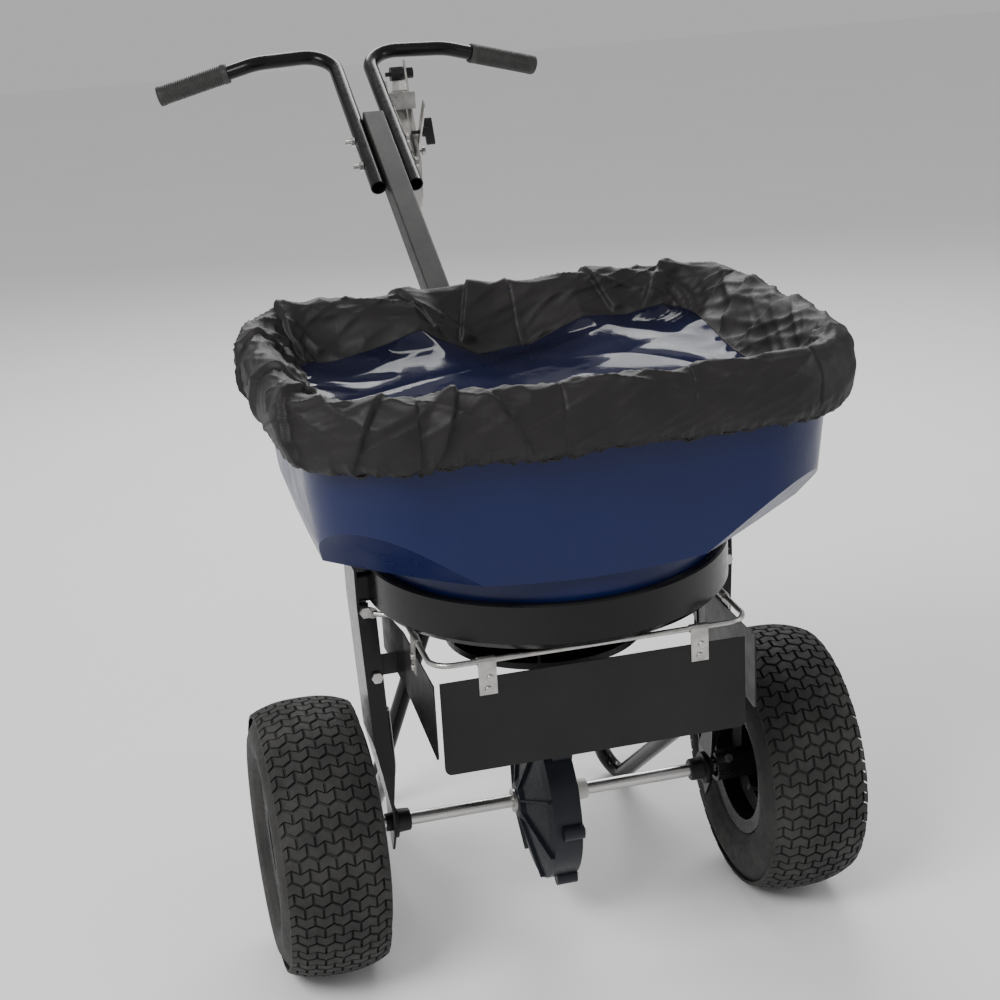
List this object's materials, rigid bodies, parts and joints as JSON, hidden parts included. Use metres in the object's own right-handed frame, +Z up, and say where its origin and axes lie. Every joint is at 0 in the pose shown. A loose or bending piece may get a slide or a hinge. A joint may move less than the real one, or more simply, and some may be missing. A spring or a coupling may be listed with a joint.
{
  "type": "garden spreader",
  "caption": "Walk-behind broadcast spreader with a covered hopper, gear-driven impeller, turf tyres, baffles, a sloping post with splayed handles and a rear stand.",
  "frame": {"origin": "on the ground, half way along the overall length and midway between the wheels", "axes": "+Z up, -Y the way it is pushed, +X towards the driven wheel"},
  "size_m": [0.714, 1.3291, 0.9736],
  "materials": {
    "hopper_plastic": "moulded navy polyethylene, soft sheen",
    "cover_fabric": "coated black nylon, gathered",
    "clear_vinyl": "clear soft vinyl, creased",
    "tyre_rubber": "matt turf tread rubber",
    "rim_steel": "gloss black powder coat",
    "grip_rubber": "soft ribbed rubber",
    "gearbox_plastic": "dark blue-grey glass-filled nylon",
    "white_nylon": "natural white nylon",
    "gear_metal": "sintered iron with grease",
    "bright_steel": "bright drawn bar",
    "black_plastic": "moulded black nylon",
    "gloss_black": "gloss black powder coat",
    "matt_black": "textured matt black powder coat",
    "satin_black": "satin black painted sheet",
    "zinc": "bright zinc plate"
  },
  "bodies": {
    "frame": {"hopper": "hopper_plastic", "support_ring": "gloss_black", "left_leg": "gloss_black", "right_leg": "gloss_black", "left_leg_bolts": "zinc", "right_leg_bolts": "zinc", "left_axle_bushing": "black_plastic", "right_axle_bushing": "black_plastic", "gearbox_case_left": "gearbox_plastic", "gearbox_case_right": "gearbox_plastic", "gearbox_screws": "zinc", "gate_clips": "black_plastic", "post": "matt_black", "left_handle_tube": "gloss_black", "right_handle_tube": "gloss_black", "left_grip": "grip_rubber", "right_grip": "grip_rubber", "handle_bolts": "zinc", "gauge_plate": "zinc", "gauge_bracket": "zinc", "gauge_stay": "zinc", "lever_pivot_bolt": "zinc", "deflector_rod": "zinc", "left_baffle": "satin_black", "right_baffle": "satin_black", "side_clips": "zinc", "side_clip_screws": "zinc", "left_stand_tube": "gloss_black", "right_stand_tube": "gloss_black", "rear_bracket": "gloss_black", "frame_bolts": "zinc"},
    "cover": {"rain_cover": "cover_fabric", "cover_window": "clear_vinyl"},
    "axle": {"axle": "bright_steel", "axle_washers": "zinc", "axle_cotters": "zinc", "gearbox_washer": "zinc", "gearbox_collar": "white_nylon", "crown_gear": "gear_metal", "right_rim": "rim_steel", "right_tyre": "tyre_rubber", "right_valve_stem": "grip_rubber", "drive_wheel_bolt": "zinc"},
    "left_wheel": {"left_rim": "rim_steel", "left_tyre": "tyre_rubber", "left_valve_stem": "grip_rubber", "left_hub_bushings": "white_nylon"},
    "impeller": {"impeller_shaft": "bright_steel", "pinion_gear": "gear_metal", "impeller": "black_plastic", "agitator_pin": "zinc"},
    "gate": {"shut_off_gate": "black_plastic"},
    "control_rod": {"control_rod": "zinc"},
    "lever": {"control_lever": "zinc", "lever_knob": "black_plastic"},
    "rate_stop": {"rate_stop": "zinc"},
    "stop_knob": {"stop_knob": "black_plastic"},
    "front_baffle": {"front_baffle": "satin_black", "front_clips": "zinc", "front_clip_screws": "zinc"}
  },
  "joints": [
    {"name": "cover_lift", "type": "slide", "parent": "frame", "child": "cover", "axis": [0, 0, 1], "range_m": [0, 0.3]},
    {"name": "axle_spin", "type": "hinge", "parent": "frame", "child": "axle", "pos_m": [0, -0.3925, 0.165], "axis": [1, 0, 0], "continuous": true},
    {"name": "left_wheel_spin", "type": "hinge", "parent": "frame", "child": "left_wheel", "pos_m": [-0.292, -0.3925, 0.165], "axis": [1, 0, 0], "continuous": true},
    {"name": "impeller_spin", "type": "hinge", "parent": "frame", "child": "impeller", "pos_m": [0, -0.3925, 0.4], "axis": [0, 0, 1], "continuous": true},
    {"name": "lever_swing", "type": "hinge", "parent": "frame", "child": "lever", "pos_m": [0.06, 0.5555, 0.812], "axis": [-1, 0, 0], "range_deg": [0, 40]},
    {"name": "control_slide", "type": "slide", "parent": "frame", "child": "control_rod", "axis": [0, -1, 0], "range_m": [0, 0.0308]},
    {"name": "gate_turn", "type": "hinge", "parent": "frame", "child": "gate", "pos_m": [0, -0.3925, 0.4379], "axis": [0, 0, -1], "range_deg": [0, 24.69]},
    {"name": "rate_stop_turn", "type": "hinge", "parent": "frame", "child": "rate_stop", "pos_m": [0.0822, 0.5555, 0.812], "axis": [1, 0, 0], "range_deg": [-4, 24]},
    {"name": "stop_knob_turn", "type": "hinge", "parent": "rate_stop", "child": "stop_knob", "pos_m": [0.09, 0.52405, 0.84693], "axis": [1, 0, 0], "continuous": true},
    {"name": "front_baffle_swing", "type": "hinge", "parent": "frame", "child": "front_baffle", "pos_m": [0, -0.6015, 0.452], "axis": [-1, 0, 0], "range_deg": [0, 100]}
  ],
  "couplings": [
    {"joint": "impeller_spin", "follows": "axle_spin", "ratio": 6},
    {"joint": "control_slide", "follows": "lever_swing", "m_per_rad": 0.0441},
    {"joint": "gate_turn", "follows": "lever_swing", "ratio": 0.61725}
  ]
}
